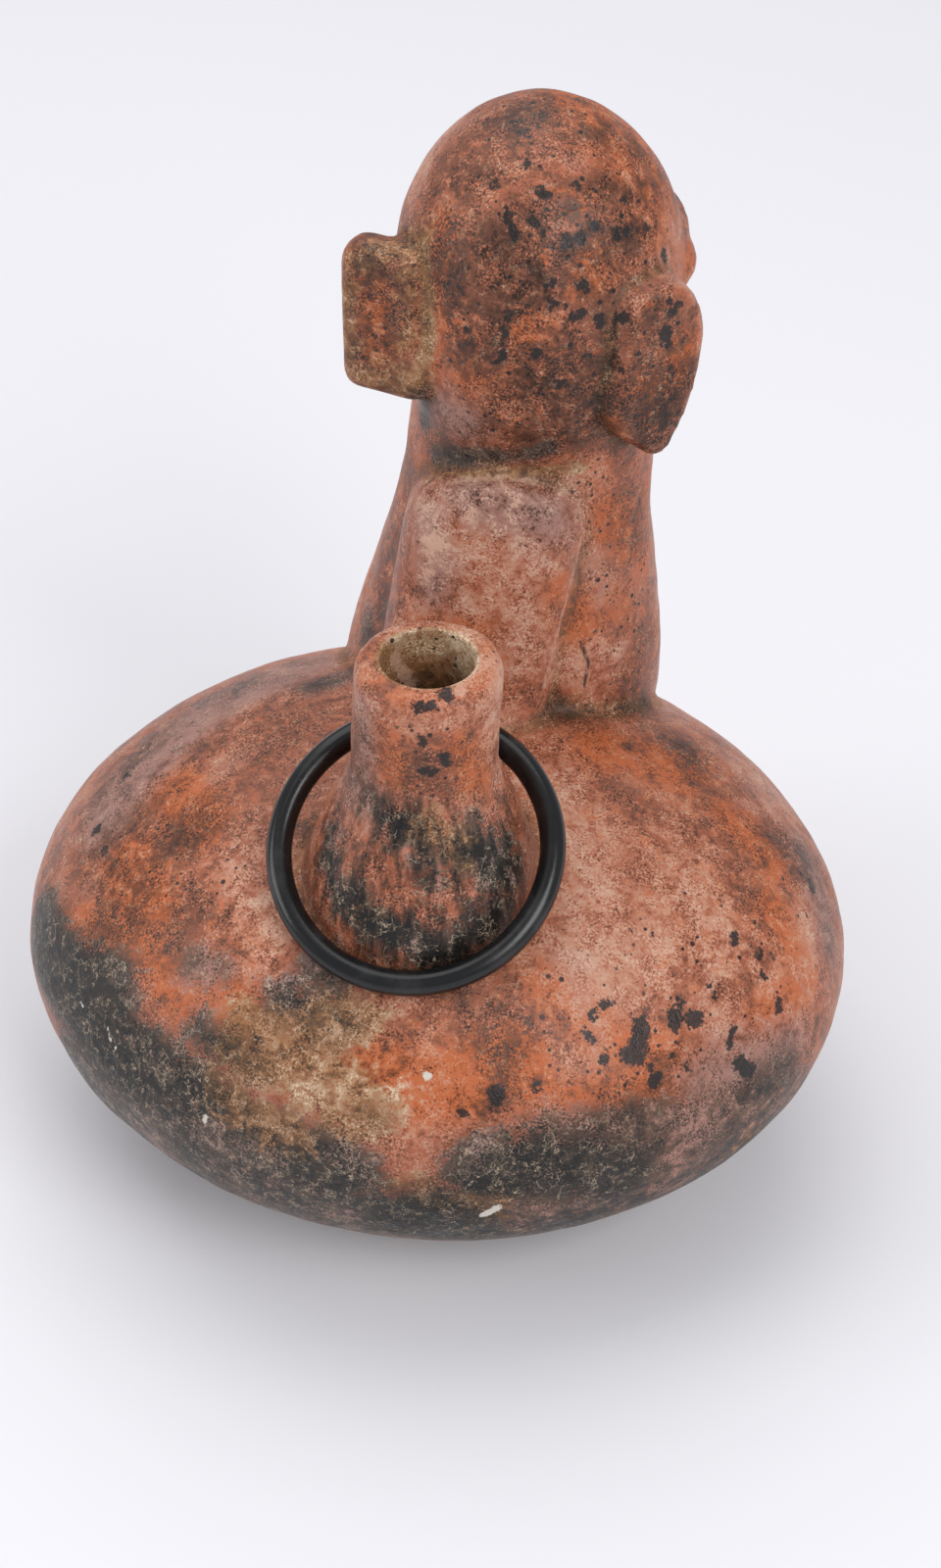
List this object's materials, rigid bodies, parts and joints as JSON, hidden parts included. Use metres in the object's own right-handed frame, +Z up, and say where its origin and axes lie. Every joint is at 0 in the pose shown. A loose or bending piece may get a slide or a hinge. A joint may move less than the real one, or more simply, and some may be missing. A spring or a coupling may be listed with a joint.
{
  "type": "spouted effigy vessel",
  "caption": "Hollow burnished-clay bottle: low round body, head and neck column at the far side, round open spout behind the head, and a loose rubber ring around the foot of the spout.",
  "frame": {"origin": "middle of the flat underside of the body, on the surface that the vessel stands on", "axes": "+Z up through the body; the spout is towards -Y and the head looks to +Y; the square ear lug is towards -X and the pointed ear flap towards +X"},
  "size_m": [0.192, 0.1723, 0.241],
  "materials": {
    "clay": "low-fired clay with a burnished orange-red slip, worn, pitted and smoke-clouded, satin",
    "rubber": "smooth black, glossy, a little dusty"
  },
  "bodies": {
    "root": {"vessel": "clay", "rubber_ring": "rubber"}
  },
  "joints": []
}
